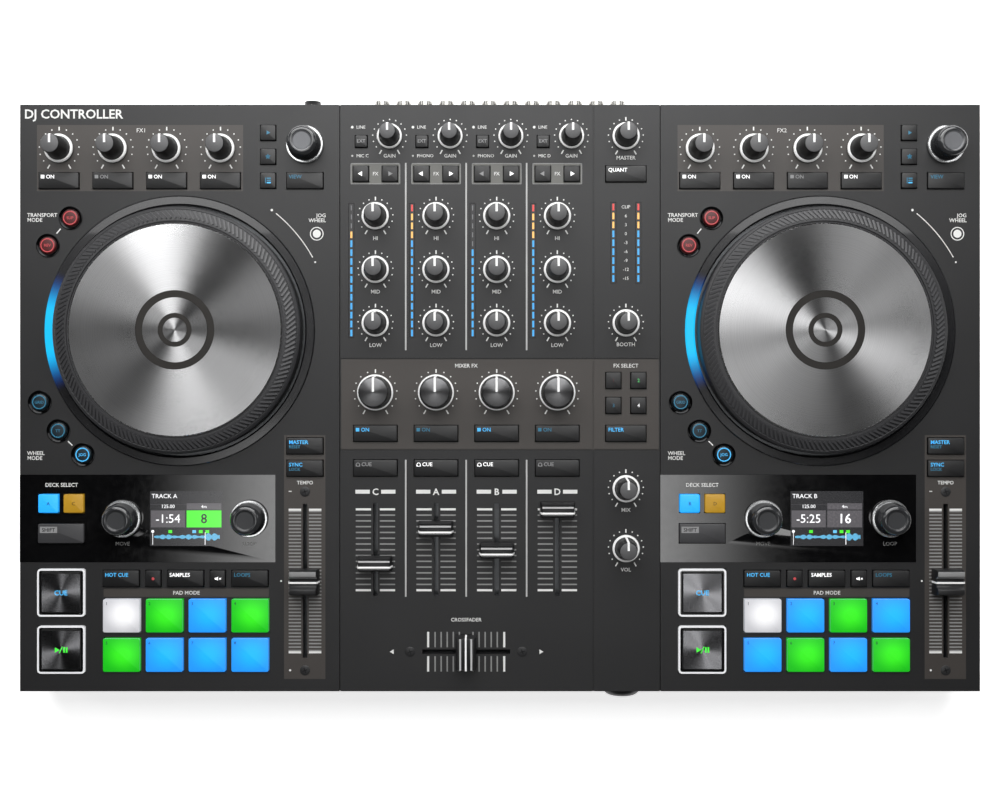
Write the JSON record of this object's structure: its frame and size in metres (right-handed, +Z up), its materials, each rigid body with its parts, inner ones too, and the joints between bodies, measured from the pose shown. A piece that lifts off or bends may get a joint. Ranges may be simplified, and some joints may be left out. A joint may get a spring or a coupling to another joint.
{
  "type": "dj controller",
  "caption": "Flat tabletop music controller: two motor driven jog wheel decks with screens, keys, pads and tempo faders on each side of a mixer with faders and knobs.",
  "frame": {"origin": "on the table, under the middle of the case", "axes": "+X to the player's right, +Y to the rear sockets, +Z up out of the controls"},
  "size_m": [0.523, 0.332, 0.0567],
  "materials": {
    "steel_tray": "satin black paint",
    "case_plastic": "fine moulded grain",
    "plate_anodised": "dark satin anodised",
    "window_gloss": "polished black",
    "board_laminate": "solder mask",
    "control_steel": "pressed steel",
    "socket_plastic": "moulded black",
    "foot_rubber": "matte rubber",
    "screw_steel": "black zinc",
    "key_plastic": "satin translucent black",
    "pad_rubber": "translucent silicone, lit from below",
    "jog_metal": "spun dark metal with a rubber rim",
    "knob_plastic": "soft touch black",
    "filter_knob_metal": "spun dark metal top",
    "fader_plastic": "satin black"
  },
  "bodies": {
    "case": {"bottom_tray": "steel_tray", "top_case": "case_plastic", "face_plates": "plate_anodised", "windows_and_light_guides": "window_gloss", "circuit_boards": "board_laminate", "control_bodies": "control_steel", "sockets": "socket_plastic", "rubber_feet": "foot_rubber", "case_screws": "screw_steel"},
    "left_jog_wheel": {"left_jog_wheel": "jog_metal"},
    "right_jog_wheel": {"right_jog_wheel": "jog_metal"},
    "left_browse_encoder": {"left_browse_encoder": "knob_plastic"},
    "left_loop_encoder": {"left_loop_encoder": "knob_plastic"},
    "left_move_encoder": {"left_move_encoder": "knob_plastic"},
    "right_browse_encoder": {"right_browse_encoder": "knob_plastic"},
    "right_loop_encoder": {"right_loop_encoder": "knob_plastic"},
    "right_move_encoder": {"right_move_encoder": "knob_plastic"},
    "booth_knob": {"booth_knob": "knob_plastic"},
    "channel_a_filter_knob": {"channel_a_filter_knob": "filter_knob_metal"},
    "channel_a_gain_knob": {"channel_a_gain_knob": "knob_plastic"},
    "channel_a_high_knob": {"channel_a_high_knob": "knob_plastic"},
    "channel_a_low_knob": {"channel_a_low_knob": "knob_plastic"},
    "channel_a_mid_knob": {"channel_a_mid_knob": "knob_plastic"},
    "channel_b_filter_knob": {"channel_b_filter_knob": "filter_knob_metal"},
    "channel_b_gain_knob": {"channel_b_gain_knob": "knob_plastic"},
    "channel_b_high_knob": {"channel_b_high_knob": "knob_plastic"},
    "channel_b_low_knob": {"channel_b_low_knob": "knob_plastic"},
    "channel_b_mid_knob": {"channel_b_mid_knob": "knob_plastic"},
    "channel_c_filter_knob": {"channel_c_filter_knob": "filter_knob_metal"},
    "channel_c_gain_knob": {"channel_c_gain_knob": "knob_plastic"},
    "channel_c_high_knob": {"channel_c_high_knob": "knob_plastic"},
    "channel_c_low_knob": {"channel_c_low_knob": "knob_plastic"},
    "channel_c_mid_knob": {"channel_c_mid_knob": "knob_plastic"},
    "channel_d_filter_knob": {"channel_d_filter_knob": "filter_knob_metal"},
    "channel_d_gain_knob": {"channel_d_gain_knob": "knob_plastic"},
    "channel_d_high_knob": {"channel_d_high_knob": "knob_plastic"},
    "channel_d_low_knob": {"channel_d_low_knob": "knob_plastic"},
    "channel_d_mid_knob": {"channel_d_mid_knob": "knob_plastic"},
    "headphone_mix_knob": {"headphone_mix_knob": "knob_plastic"},
    "headphone_volume_knob": {"headphone_volume_knob": "knob_plastic"},
    "left_fx_knob_1": {"left_fx_knob_1": "knob_plastic"},
    "left_fx_knob_2": {"left_fx_knob_2": "knob_plastic"},
    "left_fx_knob_3": {"left_fx_knob_3": "knob_plastic"},
    "left_fx_knob_4": {"left_fx_knob_4": "knob_plastic"},
    "master_knob": {"master_knob": "knob_plastic"},
    "right_fx_knob_1": {"right_fx_knob_1": "knob_plastic"},
    "right_fx_knob_2": {"right_fx_knob_2": "knob_plastic"},
    "right_fx_knob_3": {"right_fx_knob_3": "knob_plastic"},
    "right_fx_knob_4": {"right_fx_knob_4": "knob_plastic"},
    "left_tempo_fader": {"left_tempo_fader": "fader_plastic"},
    "right_tempo_fader": {"right_tempo_fader": "fader_plastic"},
    "channel_c_fader": {"channel_c_fader": "fader_plastic"},
    "channel_a_fader": {"channel_a_fader": "fader_plastic"},
    "channel_b_fader": {"channel_b_fader": "fader_plastic"},
    "channel_d_fader": {"channel_d_fader": "fader_plastic"},
    "crossfader": {"crossfader": "fader_plastic"},
    "left_deck_buttons": {"left_deck_buttons": "key_plastic"},
    "right_deck_buttons": {"right_deck_buttons": "key_plastic"},
    "mixer_buttons": {"mixer_buttons": "key_plastic"},
    "performance_pads": {"performance_pads": "pad_rubber"}
  },
  "joints": [
    {"name": "left_jog_wheel_turn", "type": "hinge", "parent": "case", "child": "left_jog_wheel", "pos_m": [-0.17433, 0.0365, 0.0164], "axis": [0, 0, 1], "continuous": true},
    {"name": "right_jog_wheel_turn", "type": "hinge", "parent": "case", "child": "right_jog_wheel", "pos_m": [0.17433, 0.0365, 0.0164], "axis": [0, 0, 1], "continuous": true},
    {"name": "left_browse_encoder_turn", "type": "hinge", "parent": "case", "child": "left_browse_encoder", "pos_m": [-0.10613, 0.1379, 0.0286], "axis": [0, 0, 1], "continuous": true},
    {"name": "left_loop_encoder_turn", "type": "hinge", "parent": "case", "child": "left_loop_encoder", "pos_m": [-0.13643, -0.0656, 0.0286], "axis": [0, 0, 1], "continuous": true},
    {"name": "left_move_encoder_turn", "type": "hinge", "parent": "case", "child": "left_move_encoder", "pos_m": [-0.20543, -0.0656, 0.0286], "axis": [0, 0, 1], "continuous": true},
    {"name": "right_browse_encoder_turn", "type": "hinge", "parent": "case", "child": "right_browse_encoder", "pos_m": [0.24253, 0.1379, 0.0286], "axis": [0, 0, 1], "continuous": true},
    {"name": "right_loop_encoder_turn", "type": "hinge", "parent": "case", "child": "right_loop_encoder", "pos_m": [0.21223, -0.0656, 0.0286], "axis": [0, 0, 1], "continuous": true},
    {"name": "right_move_encoder_turn", "type": "hinge", "parent": "case", "child": "right_move_encoder", "pos_m": [0.14323, -0.0656, 0.0286], "axis": [0, 0, 1], "continuous": true},
    {"name": "booth_knob_turn", "type": "hinge", "parent": "case", "child": "booth_knob", "pos_m": [0.0685, 0.0408, 0.0286], "axis": [0, 0, 1], "range_deg": [-150, 150]},
    {"name": "channel_a_filter_knob_turn", "type": "hinge", "parent": "case", "child": "channel_a_filter_knob", "pos_m": [-0.0348, 0.003, 0.0286], "axis": [0, 0, 1], "range_deg": [-150, 150]},
    {"name": "channel_a_gain_knob_turn", "type": "hinge", "parent": "case", "child": "channel_a_gain_knob", "pos_m": [-0.0271, 0.1424, 0.0286], "axis": [0, 0, 1], "range_deg": [-150, 150]},
    {"name": "channel_a_high_knob_turn", "type": "hinge", "parent": "case", "child": "channel_a_high_knob", "pos_m": [-0.0348, 0.099, 0.0286], "axis": [0, 0, 1], "range_deg": [-150, 150]},
    {"name": "channel_a_low_knob_turn", "type": "hinge", "parent": "case", "child": "channel_a_low_knob", "pos_m": [-0.0348, 0.0408, 0.0286], "axis": [0, 0, 1], "range_deg": [-150, 150]},
    {"name": "channel_a_mid_knob_turn", "type": "hinge", "parent": "case", "child": "channel_a_mid_knob", "pos_m": [-0.0348, 0.0699, 0.0286], "axis": [0, 0, 1], "range_deg": [-150, 150]},
    {"name": "channel_b_filter_knob_turn", "type": "hinge", "parent": "case", "child": "channel_b_filter_knob", "pos_m": [-0.0018, 0.003, 0.0286], "axis": [0, 0, 1], "range_deg": [-150, 150]},
    {"name": "channel_b_gain_knob_turn", "type": "hinge", "parent": "case", "child": "channel_b_gain_knob", "pos_m": [0.0059, 0.1424, 0.0286], "axis": [0, 0, 1], "range_deg": [-150, 150]},
    {"name": "channel_b_high_knob_turn", "type": "hinge", "parent": "case", "child": "channel_b_high_knob", "pos_m": [-0.0018, 0.099, 0.0286], "axis": [0, 0, 1], "range_deg": [-150, 150]},
    {"name": "channel_b_low_knob_turn", "type": "hinge", "parent": "case", "child": "channel_b_low_knob", "pos_m": [-0.0018, 0.0408, 0.0286], "axis": [0, 0, 1], "range_deg": [-150, 150]},
    {"name": "channel_b_mid_knob_turn", "type": "hinge", "parent": "case", "child": "channel_b_mid_knob", "pos_m": [-0.0018, 0.0699, 0.0286], "axis": [0, 0, 1], "range_deg": [-150, 150]},
    {"name": "channel_c_filter_knob_turn", "type": "hinge", "parent": "case", "child": "channel_c_filter_knob", "pos_m": [-0.0678, 0.003, 0.0286], "axis": [0, 0, 1], "range_deg": [-150, 150]},
    {"name": "channel_c_gain_knob_turn", "type": "hinge", "parent": "case", "child": "channel_c_gain_knob", "pos_m": [-0.0601, 0.1424, 0.0286], "axis": [0, 0, 1], "range_deg": [-150, 150]},
    {"name": "channel_c_high_knob_turn", "type": "hinge", "parent": "case", "child": "channel_c_high_knob", "pos_m": [-0.0678, 0.099, 0.0286], "axis": [0, 0, 1], "range_deg": [-150, 150]},
    {"name": "channel_c_low_knob_turn", "type": "hinge", "parent": "case", "child": "channel_c_low_knob", "pos_m": [-0.0678, 0.0408, 0.0286], "axis": [0, 0, 1], "range_deg": [-150, 150]},
    {"name": "channel_c_mid_knob_turn", "type": "hinge", "parent": "case", "child": "channel_c_mid_knob", "pos_m": [-0.0678, 0.0699, 0.0286], "axis": [0, 0, 1], "range_deg": [-150, 150]},
    {"name": "channel_d_filter_knob_turn", "type": "hinge", "parent": "case", "child": "channel_d_filter_knob", "pos_m": [0.0312, 0.003, 0.0286], "axis": [0, 0, 1], "range_deg": [-150, 150]},
    {"name": "channel_d_gain_knob_turn", "type": "hinge", "parent": "case", "child": "channel_d_gain_knob", "pos_m": [0.0389, 0.1424, 0.0286], "axis": [0, 0, 1], "range_deg": [-150, 150]},
    {"name": "channel_d_high_knob_turn", "type": "hinge", "parent": "case", "child": "channel_d_high_knob", "pos_m": [0.0312, 0.099, 0.0286], "axis": [0, 0, 1], "range_deg": [-150, 150]},
    {"name": "channel_d_low_knob_turn", "type": "hinge", "parent": "case", "child": "channel_d_low_knob", "pos_m": [0.0312, 0.0408, 0.0286], "axis": [0, 0, 1], "range_deg": [-150, 150]},
    {"name": "channel_d_mid_knob_turn", "type": "hinge", "parent": "case", "child": "channel_d_mid_knob", "pos_m": [0.0312, 0.0699, 0.0286], "axis": [0, 0, 1], "range_deg": [-150, 150]},
    {"name": "headphone_mix_knob_turn", "type": "hinge", "parent": "case", "child": "headphone_mix_knob", "pos_m": [0.0685, -0.0493, 0.0286], "axis": [0, 0, 1], "range_deg": [-150, 150]},
    {"name": "headphone_volume_knob_turn", "type": "hinge", "parent": "case", "child": "headphone_volume_knob", "pos_m": [0.0685, -0.0818, 0.0286], "axis": [0, 0, 1], "range_deg": [-150, 150]},
    {"name": "left_fx_knob_1_turn", "type": "hinge", "parent": "case", "child": "left_fx_knob_1", "pos_m": [-0.23993, 0.1358, 0.0286], "axis": [0, 0, 1], "range_deg": [-150, 150]},
    {"name": "left_fx_knob_2_turn", "type": "hinge", "parent": "case", "child": "left_fx_knob_2", "pos_m": [-0.21066, 0.1358, 0.0286], "axis": [0, 0, 1], "range_deg": [-150, 150]},
    {"name": "left_fx_knob_3_turn", "type": "hinge", "parent": "case", "child": "left_fx_knob_3", "pos_m": [-0.18139, 0.1358, 0.0286], "axis": [0, 0, 1], "range_deg": [-150, 150]},
    {"name": "left_fx_knob_4_turn", "type": "hinge", "parent": "case", "child": "left_fx_knob_4", "pos_m": [-0.15212, 0.1358, 0.0286], "axis": [0, 0, 1], "range_deg": [-150, 150]},
    {"name": "master_knob_turn", "type": "hinge", "parent": "case", "child": "master_knob", "pos_m": [0.0685, 0.1424, 0.0286], "axis": [0, 0, 1], "range_deg": [-150, 150]},
    {"name": "right_fx_knob_1_turn", "type": "hinge", "parent": "case", "child": "right_fx_knob_1", "pos_m": [0.10873, 0.1358, 0.0286], "axis": [0, 0, 1], "range_deg": [-150, 150]},
    {"name": "right_fx_knob_2_turn", "type": "hinge", "parent": "case", "child": "right_fx_knob_2", "pos_m": [0.138, 0.1358, 0.0286], "axis": [0, 0, 1], "range_deg": [-150, 150]},
    {"name": "right_fx_knob_3_turn", "type": "hinge", "parent": "case", "child": "right_fx_knob_3", "pos_m": [0.16727, 0.1358, 0.0286], "axis": [0, 0, 1], "range_deg": [-150, 150]},
    {"name": "right_fx_knob_4_turn", "type": "hinge", "parent": "case", "child": "right_fx_knob_4", "pos_m": [0.19654, 0.1358, 0.0286], "axis": [0, 0, 1], "range_deg": [-150, 150]},
    {"name": "left_tempo_fader_slide", "type": "slide", "parent": "case", "child": "left_tempo_fader", "axis": [0, 1, 0], "range_m": [-0.0388, 0.0388]},
    {"name": "right_tempo_fader_slide", "type": "slide", "parent": "case", "child": "right_tempo_fader", "axis": [0, 1, 0], "range_m": [-0.0388, 0.0388]},
    {"name": "channel_c_fader_slide", "type": "slide", "parent": "case", "child": "channel_c_fader", "axis": [0, 1, 0], "range_m": [-0.01496, 0.02904]},
    {"name": "channel_a_fader_slide", "type": "slide", "parent": "case", "child": "channel_a_fader", "axis": [0, 1, 0], "range_m": [-0.03388, 0.01012]},
    {"name": "channel_b_fader_slide", "type": "slide", "parent": "case", "child": "channel_b_fader", "axis": [0, 1, 0], "range_m": [-0.022, 0.022]},
    {"name": "channel_d_fader_slide", "type": "slide", "parent": "case", "child": "channel_d_fader", "axis": [0, 1, 0], "range_m": [-0.044, 0]},
    {"name": "crossfader_slide", "type": "slide", "parent": "case", "child": "crossfader", "axis": [1, 0, 0], "range_m": [-0.0207, 0.0207]},
    {"name": "left_deck_buttons_press", "type": "slide", "parent": "case", "child": "left_deck_buttons", "axis": [0, 0, -1], "range_m": [0, 0.001], "stiffness_N_per_m": 800, "springref_m": -0.0008},
    {"name": "right_deck_buttons_press", "type": "slide", "parent": "case", "child": "right_deck_buttons", "axis": [0, 0, -1], "range_m": [0, 0.001], "stiffness_N_per_m": 800, "springref_m": -0.0008},
    {"name": "mixer_buttons_press", "type": "slide", "parent": "case", "child": "mixer_buttons", "axis": [0, 0, -1], "range_m": [0, 0.001], "stiffness_N_per_m": 800, "springref_m": -0.0008},
    {"name": "performance_pads_press", "type": "slide", "parent": "case", "child": "performance_pads", "axis": [0, 0, -1], "range_m": [0, 0.001], "stiffness_N_per_m": 800, "springref_m": -0.0008}
  ]
}
